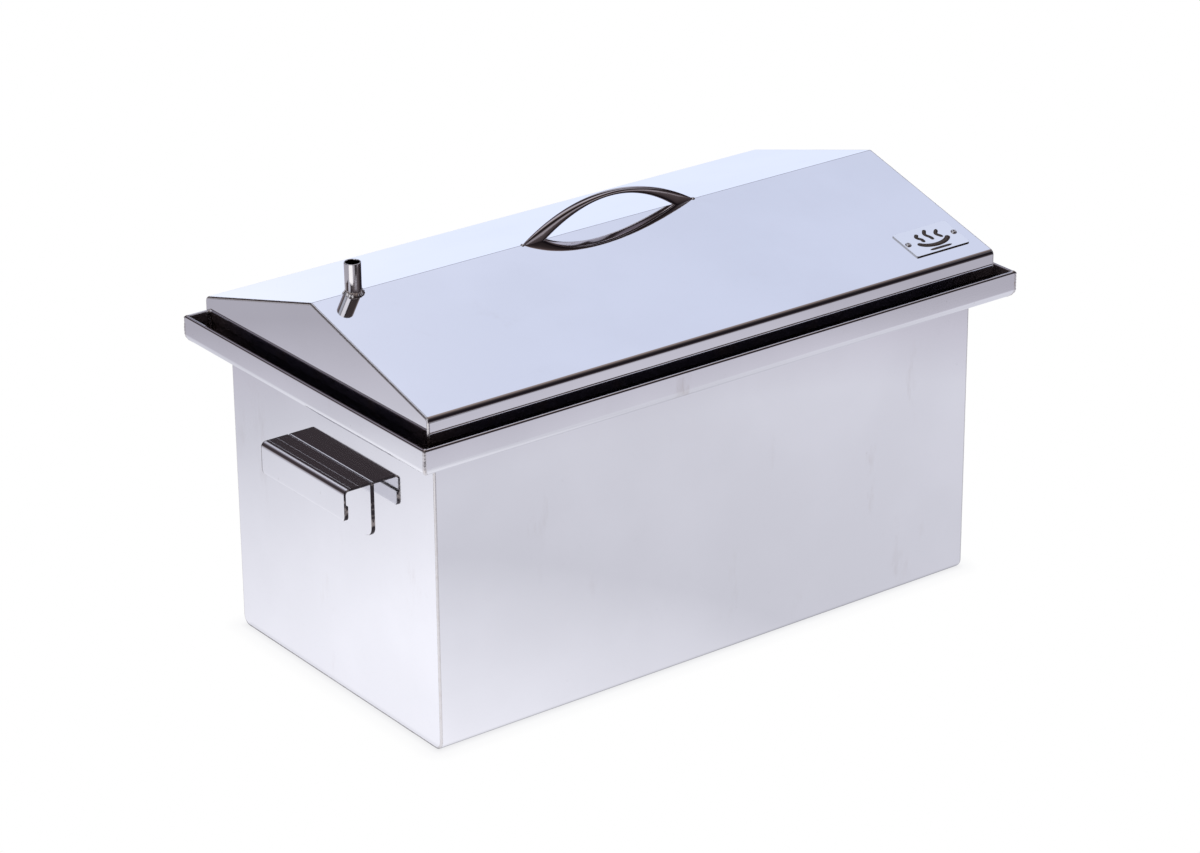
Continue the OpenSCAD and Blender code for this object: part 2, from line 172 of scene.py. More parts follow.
def fold(corners, *radii):
    """Outer face of a sheet folded along corners, as (point, outward normal) pairs.

    The sheet lies to the left of the path and every corner turns left. One radius serves every
    bend, or each bend has its own."""
    corners = [Vector(c) for c in corners]
    headings = [(b - a).normalized() for a, b in zip(corners, corners[1:])]
    pairs = [(corners[0], right_of(headings[0]))]
    radii = radii if len(radii) > 1 else radii * (len(corners) - 2)
    for corner, before, after, radius in zip(corners[1:], headings, headings[1:], radii):
        angle = before.angle(after)
        centre = corner - before * radius * math.tan(angle / 2) + radius * left_of(before)
        pairs += arc(centre, radius, right_of(before), angle)
    pairs.append((corners[-1], right_of(headings[-1])))
    return pairs


def refined(pairs, pitch):
    """The same outline with its straights cut to at most one pitch."""
    out = [pairs[0]]
    for (a, na), (b, nb) in zip(pairs, pairs[1:]):
        parts = max(1, math.ceil((b - a).length / pitch))
        out += [(a.lerp(b, i / parts), na.lerp(nb, i / parts).normalized())
                for i in range(1, parts + 1)]
    return out


def folded_sheet(name, pairs, stations, place, inside_from=None, edge_slot=0):
    """Sheet whose section is pairs, run through stations.

    place(point, station) gives the 3-D place of a section point. With inside_from, the inner
    face and the outer face from that pair on take material slot 1; cut edges, and the end bays
    when there are more than two stations, take edge_slot."""
    rows = [[(place(p, s), place(p - n * SHEET, s)) for p, n in pairs] for s in stations]
    verts = [v for row in rows for pair in row for v in pair]
    count = len(pairs)

    def index(station, point, inner):
        return 2 * (station * count + point) + inner

    faces, slots = [], []
    for s in range(len(stations) - 1):
        for i in range(count - 1):
            for inner in (0, 1):
                faces.append((index(s, i, inner), index(s, i + 1, inner),
                              index(s + 1, i + 1, inner), index(s + 1, i, inner)))
                at_end = len(stations) > 2 and s in (0, len(stations) - 2)
                inside = inside_from is not None and (inner == 1 or i >= inside_from)
                slots.append(edge_slot if at_end else int(inside))
        for i in (0, count - 1):
            faces.append((index(s, i, 0), index(s + 1, i, 0),
                          index(s + 1, i, 1), index(s, i, 1)))
            slots.append(edge_slot)
    for s in (0, len(stations) - 1):
        for i in range(count - 1):
            faces.append((index(s, i, 0), index(s, i + 1, 0),
                          index(s, i + 1, 1), index(s, i, 1)))
            slots.append(edge_slot)
    obj = make_object(name, verts, faces)
    obj.data.polygons.foreach_set("material_index", slots)
    return obj


def skin(name, rings, loop=False):
    """Closed skin through rings of points. A loop joins the last ring to the first."""
    count = len(rings[0])
    verts = [v for ring in rings for v in ring]
    faces = []
    for r in range(len(rings) if loop else len(rings) - 1):
        a, b = r * count, (r + 1) % len(rings) * count
        for i in range(count):
            j = (i + 1) % count
            faces.append((a + i, a + j, b + j, b + i))
    if not loop:
        faces.append(tuple(range(count)))
        faces.append(tuple((len(rings) - 1) * count + i for i in range(count)))
    return make_object(name, verts, faces)


def plate(name, outline, place, low, high):
    """Flat plate from an outline; place(point, depth) gives the 3-D place."""
    return skin(name, [[place(p, depth) for p in outline] for depth in (low, high)])


def sweep(name, path, radius, up, sides=16, loop=False, cap=0.3):
    """Round rod along a flat path whose plane has the normal up. Its ends are rounded by cap."""
    up = Vector(up)
    path = [Vector(p) for p in path]
    rings = []
    last = len(path) - 1
    for i, p in enumerate(path):
        before = path[i - 1] if i or loop else p
        after = path[(i + 1) % len(path)] if i < last or loop else p
        tangent = (after - before).normalized()
        across = tangent.cross(up)
        frame_ring = [(math.cos(a) * up + math.sin(a) * across)
                      for a in (2 * math.pi * k / sides for k in range(sides))]
        if not loop and i in (0, last):
            back = tangent if i == 0 else -tangent
            rounded = [[p + (1 - cap) * radius * v for v in frame_ring],
                       [p + back * cap * radius + radius * v for v in frame_ring]]
            rings += rounded if i == 0 else rounded[::-1]
        else:
            rings.append([p + radius * v for v in frame_ring])
    return skin(name, rings, loop)


def lathe(name, profile, place, sides=48, ripple=None):
    """Closed ring turned from a profile of (radius, height) points; place(x, y, z) puts it."""
    rings = []
    for k in range(sides):
        a = 2 * math.pi * k / sides
        ring = []
        for r, z in profile:
            r = r * (1 + (ripple(a, z) if ripple else 0))
            ring.append(place(r * math.cos(a), r * math.sin(a), z))
        rings.append(ring)
    return skin(name, rings, loop=True)


def rounded_rect(l, w, r, steps=8):
    """Outline of a rounded rectangle, anticlockwise."""
    points = []
    for q, (sx, sy) in enumerate(((1, 1), (-1, 1), (-1, -1), (1, -1))):
        centre = Vector((sx * (l / 2 - r), sy * (w / 2 - r)))
        start = turned(Vector((1, 0)), q * math.pi / 2)
        points += [p for p, n in arc(centre, r, start, math.pi / 2, steps)]
    return points


def wobble(s, seed, pitch):
    """Smooth unevenness of hand work, about -1 to 1, along a length s."""
    return 1.6 * noise.noise(Vector((s / pitch, seed * 7.31, 0.37)))


def ripples(s, seed, pitch):
    """Weld ripples: a regular ripple whose size wanders."""
    return 0.6 * math.cos(2 * math.pi * s / pitch) + wobble(s, seed, 2.3 * pitch)


# ======================= Materials =======================

class Shader:
    """A material's node tree with one Principled shader."""

    def __init__(self, name):
        self.material = bpy.data.materials.new(name)
        self.material.use_nodes = True
        self.tree = self.material.node_tree
        self.bsdf = self.tree.nodes["Principled BSDF"]

    def node(self, kind, inputs=None, **settings):
        made = self.tree.nodes.new(kind)
        for key, value in settings.items():
            setattr(made, key, value)
        for key, value in (inputs or {}).items():
            self.feed(made.inputs[key], value)
        return made

    def feed(self, socket, value):
        if isinstance(value, bpy.types.NodeSocket):
            self.tree.links.new(value, socket)
        else:
            socket.default_value = value

    def set(self, **values):
        for key, value in values.items():
            self.feed(self.bsdf.inputs[key.replace("_", " ")], value)

    def place(self):
        """Object coordinates, which are the row frame's metres."""
        return self.node("ShaderNodeTexCoord").outputs["Object"]

    def stretched(self, scale):
        return self.node("ShaderNodeMapping", {"Vector": self.place(), "Scale": scale}).outputs[0]

    def noise(self, vector, scale, detail=3.0, roughness=0.5):
        made = self.node("ShaderNodeTexNoise", {"Vector": vector, "Scale": scale,
                                                "Detail": detail, "Roughness": roughness})
        return made.outputs["Fac"]

    def ramp(self, value, low, high, to_low, to_high):
        made = self.node("ShaderNodeMapRange", {"Value": value, "From Min": low, "From Max": high,
                                                "To Min": to_low, "To Max": to_high})
        made.interpolation_type = "SMOOTHSTEP"
        return made.outputs["Result"]

    def math(self, operation, a, b=0.0):
        made = self.node("ShaderNodeMath", operation=operation)
        self.feed(made.inputs[0], a)
        self.feed(made.inputs[1], b)
        return made.outputs[0]

    def mix(self, factor, a, b):
        made = self.node("ShaderNodeMix", data_type="RGBA")
        self.feed(made.inputs["Factor"], factor)
        self.feed(made.inputs["A"], a)
        self.feed(made.inputs["B"], b)
        return made.outputs["Result"]

    def length2(self, a, b):
        squares = [self.math("MULTIPLY", v, v) for v in (a, b)]
        return self.math("SQRT", self.math("ADD", *squares))

    def glow(self, value, stops):
        """Colour by value, through (value, colour) stops from 0 to 1."""
        made = self.node("ShaderNodeValToRGB", {"Fac": value})
        elements = made.color_ramp.elements
        while len(elements) < len(stops):
            elements.new(0.5)
        for element, (at, colour) in zip(elements, stops):
            element.position = at
            element.color = (*colour, 1.0)
        return made.outputs["Color"]

    def bump(self, height, distance, strength=1.0, normal=None):
        made = self.node("ShaderNodeBump", {"Height": height, "Distance": distance,
                                            "Strength": strength})
        if normal is not None:
            self.feed(made.inputs["Normal"], normal)
        return made.outputs["Normal"]


def polished_sheet(name, colour, haze, waviness, soiling):
    """Mirror-polished stainless: cloudy polish, wavy sheet, fine scratches and a few stains."""
    stain_brown = (0.50, 0.42, 0.36, 1.0)
    speck_brown = (0.30, 0.26, 0.24, 1.0)
    s = Shader(name)
    clouds = s.noise(s.place(), 9.0, 4.0)
    lines = s.noise(s.stretched((14.0, 14.0, 900.0)), 1.0, 2.0)
    specks = s.noise(s.place(), 420.0, 2.0)
    smears = s.noise(s.stretched((30.0, 30.0, 9.0)), 1.0, 5.0, 0.65)
    stain = s.math("MULTIPLY", s.ramp(smears, 0.58, 0.80, 0.0, soiling),
                   s.ramp(clouds, 0.45, 0.65, 0.0, 1.0))
    speck = s.ramp(specks, 0.73, 0.78, 0.0, 0.5 * soiling)
    clean = s.mix(s.ramp(clouds, 0.35, 0.65, 0.0, 1.0), colour,
                  tuple(0.965 * c for c in colour[:3]) + (1.0,))
    stained = s.mix(stain, clean, stain_brown)
    s.set(Base_Color=s.mix(speck, stained, speck_brown), Metallic=1.0)
    polish = s.ramp(clouds, 0.30, 0.70, 0.6 * haze, 1.4 * haze)
    s.set(Roughness=s.math("ADD", polish, s.math("MULTIPLY", stain, 0.25)))
    wavy = s.bump(s.noise(s.place(), 5.0, 1.0), waviness)
    s.set(Normal=s.bump(lines, 0.000004, 1.0, wavy))
    return s.material


def weld_bead(name, tint, rough):
    """Polished weld metal: more or less rough, with straw and brown heat tints."""
    s = Shader(name)
    patches = s.noise(s.place(), 160.0, 3.0)
    grain = s.noise(s.place(), 900.0, 2.0)
    heat = s.mix(s.ramp(patches, 0.48, 0.72, 0.0, tint), (0.72, 0.70, 0.69, 1.0),
                 (0.42, 0.32, 0.24, 1.0))
    s.set(Base_Color=heat, Metallic=1.0, Roughness=s.ramp(grain, 0.3, 0.7, 0.4 * rough, rough))
    s.set(Normal=s.bump(grain, 0.00015 * rough))
    return s.material


def drawn_steel(name, colour, low, high):
    """Drawn or pressed stainless: fine pits and an even, slightly dull polish."""
    s = Shader(name)
    tone = s.noise(s.place(), 35.0, 3.0)
    pits = s.noise(s.place(), 1400.0, 2.0)
    dull = tuple(0.86 * c for c in colour[:3]) + (1.0,)
    s.set(Base_Color=s.mix(s.ramp(tone, 0.35, 0.70, 0.0, 1.0), colour, dull), Metallic=1.0)
    s.set(Roughness=s.ramp(tone, 0.3, 0.7, low, high))
    s.set(Normal=s.bump(pits, 0.000012))
    return s.material


def etched_mark_and_edge_shade(name):
    """Dark brown etching filled with lacquer, matt beside the bare steel. It is also painted shade:
    the nameplate's lower edge takes it as the shadow gap under the plate.
    """
    s = Shader(name)
    grain = s.noise(s.place(), 2200.0, 3.0)
    s.set(Base_Color=s.mix(grain, (0.095, 0.068, 0.050, 1.0), (0.165, 0.125, 0.095, 1.0)))
    s.set(Roughness=s.ramp(grain, 0.3, 0.7, 0.35, 0.55), Normal=s.bump(grain, 0.00002))
    return s.material


def trough_painted_shade(name):
    """Inside of the water seal as painted shade: a matt, near-black sheet with no mirror stands in
    for the shade there, lighter and browner towards the corners.
    """
    s = Shader(name)
    patches = s.noise(s.place(), 60.0, 4.0, 0.6)
    dark = s.mix(s.ramp(patches, 0.50, 0.75, 0.0, 1.0), (0.058, 0.050, 0.070, 1.0),
                 (0.076, 0.058, 0.062, 1.0))
    axes = s.node("ShaderNodeSeparateXYZ", {"Vector": s.place()}).outputs
    near = [s.ramp(s.math("ABSOLUTE", axes[k]), half - 45 * MM, half + GUTTER_OUT, 0.0, 1.0)
            for k, half in ((0, HALF_L), (1, HALF_W))]
    s.set(Base_Color=s.mix(s.math("MULTIPLY", *near), dark, (0.12, 0.09, 0.085, 1.0)),
          Roughness=0.4, Specular_IOR_Level=0.05)
    return s.material


def cut_edge_and_shade(name):
    """Edge left by the shears: bright burr with dark, scaled patches. The near-black patches are
    also painted shade, drawing shadow lines along the carry handles' edges.
    """
    s = Shader(name)
    patches = s.noise(s.place(), 240.0, 3.0)
    s.set(Base_Color=s.mix(s.ramp(patches, 0.50, 0.66, 0.0, 1.0), (0.045, 0.038, 0.042, 1.0),
                           (0.34, 0.30, 0.28, 1.0)), Metallic=1.0)
    s.set(Roughness=s.ramp(patches, 0.3, 0.7, 0.42, 0.25))
    return s.material


MIRROR = polished_sheet("mirror_sheet_polish", STEEL, 0.055, 0.0006, 0.35)
LID_MIRROR = polished_sheet("lid_sheet_polish", STEEL, 0.030, 0.0002, 0.10)
GABLE_MIRROR = polished_sheet("gable_sheet_polish", STEEL, 0.040, 0.0003, 0.45)
GUTTER_STEEL = polished_sheet("gutter_sheet_polish", STEEL, 0.09, 0.0006, 0.8)
PLATE_STEEL = polished_sheet("nameplate_polish", (0.92, 0.92, 0.92, 1.0), 0.05, 0.0001, 0.1)
WELD = weld_bead("weld_bead_polish", 0.8, 0.30)
CLEAN_WELD = weld_bead("ground_seam_polish", 0.15, 0.26)
# painted shade: the bow's steel is a darker, browner copy of the tube's, standing in for the dark
# surroundings that it mirrors
BOW_STEEL_SHADED = drawn_steel("bow_polish_shaded", (0.60, 0.54, 0.53, 1.0), 0.03, 0.07)
TUBE_STEEL = drawn_steel("tube_polish", (0.84, 0.82, 0.82, 1.0), 0.04, 0.10)
WIRE_STEEL = drawn_steel("rack_wire_polish", (0.80, 0.80, 0.81, 1.0), 0.14, 0.26)
TRAY_STEEL = drawn_steel("tray_sheet_finish", (0.78, 0.78, 0.79, 1.0), 0.18, 0.32)
RIVET_STEEL = drawn_steel("rivet_finish", (0.80, 0.80, 0.80, 1.0), 0.14, 0.24)
ETCHING_AND_EDGE_SHADE = etched_mark_and_edge_shade("nameplate_etching_and_edge_shade")
# painted shade: the inside of the trough is drawn near black
TROUGH_PAINTED_SHADE = trough_painted_shade("trough_inside_painted_shade")
# partly painted shade: the dark patches of the sheared edge also draw shadow lines along the carry
# handles
CUT_EDGE_AND_SHADE = cut_edge_and_shade("sheared_edge_and_shade")


def piece(obj, body, slot, materials, *nodes):
    """Gives a piece its materials, its CAD body and the nodes it stands for. The slot argument is
    not used.
    """
    for material in materials if isinstance(materials, tuple) else (materials,):
        obj.data.materials.append(material)
    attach(obj, body)
    if nodes:
        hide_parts(*nodes)
    return obj


# ======================= Box =======================

def section_at_x(p, x):
    """Places a Y-Z section point at x."""
    return Vector((x, p.x, p.y))


def edge_bead(name, pairs, x, side, roughness, pitch, seed):
    """Ground corner weld between a folded sheet and its end plate: an uneven quarter round."""
    rings = []
    along = 0.0
    fine = refined(pairs, pitch / 3)
    for i, (p, n) in enumerate(fine):
        along += (p - fine[i - 1][0]).length if i else 0.0
        r = SHEET * (1.0 + roughness * wobble(along, seed, pitch))
        root = p - n * SHEET
        ring = [section_at_x(root - n * 0.2 * SHEET, side * (x - 0.2 * SHEET))]
        for k in range(7):
            a = math.pi / 2 * k / 6
            ring.append(section_at_x(root + n * r * math.cos(a), side * (x + r * math.sin(a))))
        rings.append(ring)
    return skin(name, rings)


def build_box():
    wrap = fold([(-HALF_W, BOX_TOP), (-HALF_W, 0), (HALF_W, 0), (HALF_W, BOX_TOP)], BOTTOM_BEND)
    piece(crisp(folded_sheet("wrap_sheet", wrap, (-INNER_L, INNER_L), section_at_x)),
          "box", "mirror_sheet", MIRROR, "body_wrap")
    outline = [p - n * SHEET for p, n in wrap]
    beads = []
    for side, name in ((-1, "left"), (1, "right")):
        end = plate(f"{name}_end_sheet", outline, section_at_x, side * INNER_L, side * HALF_L)
        piece(crisp(end), "box", "mirror_sheet", MIRROR, f"{name}_end_plate")
        beads.append(edge_bead(f"{name}_seam", wrap, INNER_L, side, 0.02, 12 * MM, side + 3))
    piece(join("body_seam_beads", beads), "box", "weld_bead", CLEAN_WELD, "body_seam_welds")


# ======================= Water-seal gutter =======================

def gutter_pairs():
    """Section of the gutter: floor, wall and the hem folded back inside, outwards from the wall."""
    pairs = fold([(0, GUTTER_Z), (GUTTER_OUT, GUTTER_Z), (GUTTER_OUT, RIM_Z - HEM_R)], GUTTER_BEND)
    pairs += arc(Vector((GUTTER_OUT - HEM_R, RIM_Z - HEM_R)), HEM_R, Vector((1, 0)), math.pi)[1:]
    pairs.append((Vector((GUTTER_OUT - 2 * HEM_R, RIM_Z - HEM_DEPTH)), Vector((-1, 0))))
    return pairs


def trough_side(side):
    """place() for one mitred side: front, back, left or right."""
    sign = -1 if side in ("front", "left") else 1
    if side in ("front", "back"):
        return lambda p, s: Vector((s * (HALF_L - MITRE_GAP + p.x), sign * (HALF_W + p.x), p.y))
    return lambda p, s: Vector((sign * (HALF_L + p.x), s * (HALF_W - MITRE_GAP + p.x), p.y))


def mitre_bead(name, pairs, sx, sy, seed):
    """Weld across one mitred corner, through the sheet, lapping a little onto both sides."""
    lap = 1.2 * MM
    height = 0.32 * MM
    shares = [-1 + k / 5 for k in range(11)]
    fine = refined(pairs, 1.0 * MM)
    rings = []
    along = 0.0
    for i, (p, n) in enumerate(fine):
        along += (p - fine[i - 1][0]).length if i else 0.0
        uneven = 1 + 0.55 * ripples(along, seed, 2.6 * MM)
        outer, inner = [], []
        for share in shares:
            swell = height * uneven * (1 - share * share) - 0.03 * MM
            turn = math.radians(45 + 45 * max(-1, min(1, 1.6 * share)))
            out = Vector((math.sin(turn), math.cos(turn)))
            for point, depth in ((outer, swell), (inner, -SHEET - 0.4 * swell)):
                u = p.x + n.x * depth
                corner = Vector((HALF_L + u, HALF_W + u))
                shift = share * (lap + MITRE_GAP)
                blunt = MITRE_GAP * (1 - abs(share)) ** 2 * 0.5
                at = corner + (Vector((shift, 0)) if share < 0 else Vector((0, -shift)))
                at -= out * blunt
                point.append(Vector((sx * at.x, sy * at.y, p.y + n.y * depth)))
        rings.append(outer + inner[::-1])
    return skin(name, rings)


def build_gutter():
    pairs = gutter_pairs()
    hem_inside = len(pairs) - 1 - BEND_STEPS // 3
    # The inside of the trough takes the near-black painted shade, and its outer faces the polished
    # steel.
    for side in ("front", "back", "left", "right"):
        trough = folded_sheet(f"{side}_trough", pairs, (-1, 1), trough_side(side), hem_inside)
        piece(crisp(trough, 0.18 * MM), "box", "mirror_sheet", (GUTTER_STEEL, TROUGH_PAINTED_SHADE),
              f"gutter_{side}")
    beads = [mitre_bead("mitre", pairs, sx, sy, 5 + sx + 2 * sy)
             for sx in (-1, 1) for sy in (-1, 1)]
    piece(join("gutter_mitre_beads", beads), "box", "weld_bead", WELD, "gutter_corner_welds")
    piece(fillet_ring("gutter_seam_bead"), "box", "weld_bead", WELD, "gutter_seam_welds")


def fillet_ring(name):
    """Fillet weld where the gutter floor meets the box wall, all the way round."""
    corners = ((1, -1), (1, 1), (-1, 1), (-1, -1))
    rings = []
    pitch = 3.0 * MM
    for q, (cx, cy) in enumerate(corners):
        nx, ny = corners[(q + 1) % 4]
        length = 2 * (HALF_W if cx == nx else HALF_L)
        count = round(length / (pitch / 3))
        for i in range(count):
            f = i / count
            leg = 2.1 * MM * (1 + 0.16 * ripples(f * length, q, pitch))
            ring = []
            for u, z in ((-0.1 * leg, -0.1 * leg), (leg, 0), (0.52 * leg, 0.20 * leg),
                         (0.20 * leg, 0.52 * leg), (0, leg)):
                a = Vector((cx * (HALF_L + u), cy * (HALF_W + u), GUTTER_FLOOR + z))
                b = Vector((nx * (HALF_L + u), ny * (HALF_W + u), GUTTER_FLOOR + z))
                ring.append(a.lerp(b, f))
            rings.append(ring)
    return skin(name, rings, loop=True)


# ======================= Carry handles =======================

def carry_pairs(top, foot, flange_foot, out):
    """Section of a carry handle, outwards from the wall: hem, leg, ribbed top and flange."""
    hem = 12 * MM
    centre = Vector((out - HEM_R, foot + HEM_R))
    pairs = [(Vector((out - 2 * HEM_R, foot + hem)), Vector((-1, 0)))]
    pairs += arc(centre, HEM_R, Vector((-1, 0)), math.pi)
    body = fold([(out, foot + HEM_R), (out, top), (0, top), (0, flange_foot)],
                GRIP_BEND, 0.4 * GRIP_BEND)[1:]
    middle = BEND_STEPS + 1
    pairs += body[:middle]
    for share in (0.74, 0.45):
        pairs += press_mark(share * out, top)
    return pairs + body[middle:]


def press_mark(u, z):
    """Fine raised line that the brake tool leaves along a bend."""
    half = 0.24 * MM
    rise = 0.045 * MM
    shares = [1 - k / 3 for k in range(7)]
    pairs = []
    for share in shares:
        tilt = math.pi * rise / half * math.sin(math.pi * share) / 2
        pairs.append((Vector((u + share * half, z + rise * (1 + math.cos(math.pi * share)) / 2)),
                      Vector((math.sin(tilt), math.cos(tilt)))))
    return pairs


def build_carry_handles():
    for side, name in ((-1, "left"), (1, "right")):
        low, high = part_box(f"{name}_carry_handle")
        out = max(abs(low.x), abs(high.x)) - HALF_L
        top = high.z
        foot = top - LEG_H
        middle = (low.y + high.y) / 2
        half = (high.y - low.y) / 2
        split = out / 2

        def reach(p):
            """Half length at this point: the lower corners of both tabs are rounded."""
            corner, base = (TAB_CORNER, low.z) if p.x < split else (TAB_CORNER / 2, foot)
            drop = max(0.0, base + corner - p.y)
            return half - corner + math.sqrt(max(0.0, corner ** 2 - drop ** 2))

        def place(p, share):
            return Vector((side * (HALF_L + p.x), middle + share * reach(p), p.y))

        pairs = refined(carry_pairs(top, foot, low.z, out), 1.5 * MM)
        # A 0.55 mm strip at each end takes the sheared-edge material: painted shade, a dark shadow
        # line along the handle's ends.
        shaded_end_share = 1 - 0.55 * MM / half
        handle = folded_sheet(f"{name}_grip_channel", pairs, (-1, -shaded_end_share, shaded_end_share, 1), place,
                              edge_slot=1)
        crisp(handle, 0.3 * MM).modifiers["edges"].material = 1
        piece(handle, "box", "mirror_sheet", (GUTTER_STEEL, CUT_EDGE_AND_SHADE), f"{name}_carry_handle")


# ======================= Rack ledges =======================

def build_ledges():
    for side, end in ((-1, "left"), (1, "right")):
        for level in ("upper", "lower"):
            node = f"{end}_{level}_ledge"
            low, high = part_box(node)
            reach = high.x - low.x
            pairs = fold([(reach, high.z), (0, high.z), (0, low.z)], 2.5 * MM)

            def place(p, y):
                return Vector((side * (INNER_L - p.x), y, p.y))

            ledge = folded_sheet(f"{node}_angle", pairs, (low.y, high.y), place)
            piece(crisp(ledge), "box", "mirror_sheet", TRAY_STEEL, node)


# ======================= Lid =======================

def roof_z(y):
    """Height of the roof's outer face, its ridge taken as sharp."""
    return RIDGE_Z - abs(y) * math.tan(SLOPE)


def on_slope(x, up, out):
    """Place on the front slope: up from the eave and out from the sheet."""
    c, s = math.cos(SLOPE), math.sin(SLOPE)
    return Vector((x, -LID_W + up * c - out * s, EAVE_Z + up * s + out * c))


def build_lid():
    path = [(LID_W, LID_FOOT), (LID_W, EAVE_Z), (0, RIDGE_Z), (-LID_W, EAVE_Z),
            (-LID_W, LID_FOOT)]
    hood = fold(path, EAVE_BEND, RIDGE_BEND, EAVE_BEND)
    reach = LID_L - SHEET
    roof = folded_sheet("hood_sheet", hood, (-reach, reach), section_at_x)
    cut_spigot_hole(roof)
    piece(crisp(roof), "lid", "mirror_sheet", LID_MIRROR, "lid_roof")
    outline = [p - n * SHEET for p, n in hood]
    beads = []
    for side, name in ((-1, "left"), (1, "right")):
        gable = plate(f"{name}_gable_sheet", outline, section_at_x, side * reach, side * LID_L)
        piece(crisp(gable), "lid", "mirror_sheet", GABLE_MIRROR, f"lid_gable_{name}")
        beads.append(edge_bead(f"{name}_lid_seam", hood, reach, side, 0.02, 25 * MM, side + 8))
    piece(join("lid_seam_beads", beads), "lid", "weld_bead", CLEAN_WELD, "lid_seam_welds")


def cut_spigot_hole(roof):
    """Bores the roof for the spigot's shank."""
    low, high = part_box("smoke_spigot")
    x = (low.x + high.x) / 2
    r = 6 * MM
    ring = [(r * math.cos(2 * math.pi * k / 48), r * math.sin(2 * math.pi * k / 48))
            for k in range(48)]
    cutter = skin("hole_cutter", [[Vector((x + a, b, z)) for a, b in ring]
                                  for z in (RIDGE_Z - 12 * MM, RIDGE_Z + 6 * MM)])
    boolean = roof.modifiers.new("hole", "BOOLEAN")
    boolean.object = cutter
    boolean.solver = "EXACT"
    bpy.context.view_layer.update()
    evaluated = roof.evaluated_get(bpy.context.evaluated_depsgraph_get())
    roof.data = bpy.data.meshes.new_from_object(evaluated)
    roof.modifiers.clear()
    bpy.data.objects.remove(cutter)


def build_bow():
    """Bow handle: a smooth crescent of oval section, drawn out to a point at each foot."""
    low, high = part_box("lid_handle")
    middle = (low.x + high.x) / 2
    half = (high.x - low.x) / 2
    rise = high.z - RIDGE_Z
    gap_half = half - BOW_FOOT
    width = high.y - low.y
    stations = 97
    sides = 28
    rings = []
    for i in range(stations):
        share = math.sin(math.pi / 2 * (2 * i / (stations - 1) - 1))
        x = share * half * 0.999
        top = rise * (1 - (x / half) ** 2) * (1 + 0.05 * (x / half) ** 2)
        under = (rise - BOW_T) * (1 - (x / gap_half) ** 2)
        foot = -2.5 * MM
        bottom = max(foot, under)
        w = width * (1 - abs(share) ** 3.2) ** 0.6 + 0.4 * MM
        deep = (top - bottom) / 2
        ring = []
        for k in range(sides):
            a = 2 * math.pi * k / sides
            c, s = math.cos(a), math.sin(a)
            ring.append(Vector((middle + x, w / 2 * math.copysign(abs(c) ** 0.55, c),
                                RIDGE_Z + bottom + deep * (1 + math.copysign(abs(s) ** 0.6, s)))))
        rings.append(ring)
    piece(skin("bow_grip", rings), "lid", "polished_handle", BOW_STEEL_SHADED, "lid_handle")
    blobs = [weld_blob("foot", Vector((middle + s * half, 0, RIDGE_Z - 0.3 * MM)), 1.7 * MM, s + 4)
             for s in (-1, 1)]
    piece(join("bow_foot_beads", blobs), "lid", "weld_bead", CLEAN_WELD, "lid_handle_welds")


def weld_blob(name, centre, r, seed, squash=0.75):
    """Small uneven drop of weld metal."""
    rings = []
    for i in range(1, 10):
        a = math.pi * i / 10
        ring = []
        for k in range(14):
            b = 2 * math.pi * k / 14
            v = Vector((math.sin(a) * math.cos(b), math.sin(a) * math.sin(b), math.cos(a)))
            grow = 1 + 0.22 * noise.noise(v * 1.7 + Vector((seed * 3.1, 0, 0)))
            ring.append(centre + Vector((v.x, v.y, squash * v.z)) * r * grow)
        rings.append(ring)
    return skin(name, rings)


def build_spigot():
    low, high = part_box("smoke_spigot")
    x = (low.x + high.x) / 2
    r = (high.x - low.x) / 2
    bore = r - 1 * MM
    shank = r - 0.35 * MM
    top = high.z - RIDGE_Z
    lip = 0.35 * MM

    def place(a, b, z):
        return Vector((x + a, b, RIDGE_Z + z))

    profile = [(bore, low.z - RIDGE_Z), (shank, low.z - RIDGE_Z), (shank, 1.5 * MM),
               (r, 2.2 * MM), (r, top - lip), (r - 0.25 * MM, top), (bore + 0.3 * MM, top),
               (bore, top - lip)]
    tube = lathe("spigot_tube", rounded_profile(profile), place, 64)
    piece(crisp(tube, 0.12 * MM), "lid", "polished_handle", TUBE_STEEL, "smoke_spigot")

    spread = 2.1 * MM
    rings = []
    sides = 96
    for k in range(sides):
        a = 2 * math.pi * k / sides
        uneven = 1 + 0.12 * ripples(a * r, 2, 2.4 * MM)
        toe = r + spread * uneven
        ring = []
        for reach, z in ((shank - 0.3 * MM, -1.2 * MM), (toe, -0.25 * MM),
                         (toe - 0.2 * MM, 0.35 * MM), (r + 0.62 * spread, 0.95 * MM * uneven),
                         (r + 0.2 * MM, 2.4 * MM * uneven), (shank - 0.3 * MM, 2.6 * MM)):
            y = reach * math.sin(a)
            ring.append(Vector((x + reach * math.cos(a), y, roof_z(y) + z)))
        rings.append(ring)
    piece(skin("spigot_collar_bead", rings, loop=True), "lid", "weld_bead", WELD, "spigot_weld")


def rounded_profile(points):
    """Closes a profile's straights with a point near each corner, so that smoothing stays local."""
    out = []
    near = 0.1
    for i, p in enumerate(points):
        q = points[(i + 1) % len(points)]
        a, b = Vector(p), Vector(q)
        out += [tuple(a), tuple(a.lerp(b, near)), tuple(a.lerp(b, 1 - near))]
    return out


# ======================= Nameplate =======================

def ribbon(name, line, width, low, high, place):
    """Flat stroke of one width along a line of 2-D points, tapered to rounded ends."""
    rings = []
    last = len(line) - 1
    for i, p in enumerate(line):
        ahead = (line[min(i + 1, last)] - line[max(i - 1, 0)]).normalized()
        end = min(i, last - i) / 3
        w = width / 2 * (math.sqrt(max(0.0, 1 - (1 - end) ** 2)) * 0.94 + 0.06 if end < 1 else 1)
        side = left_of(ahead) * w
        rings.append([place(p + side, low), place(p - side, low),
                      place(p - side, high), place(p + side, high)])
    stroke = skin(name, rings)
    for face in stroke.data.polygons:
        face.use_smooth = False
    return stroke


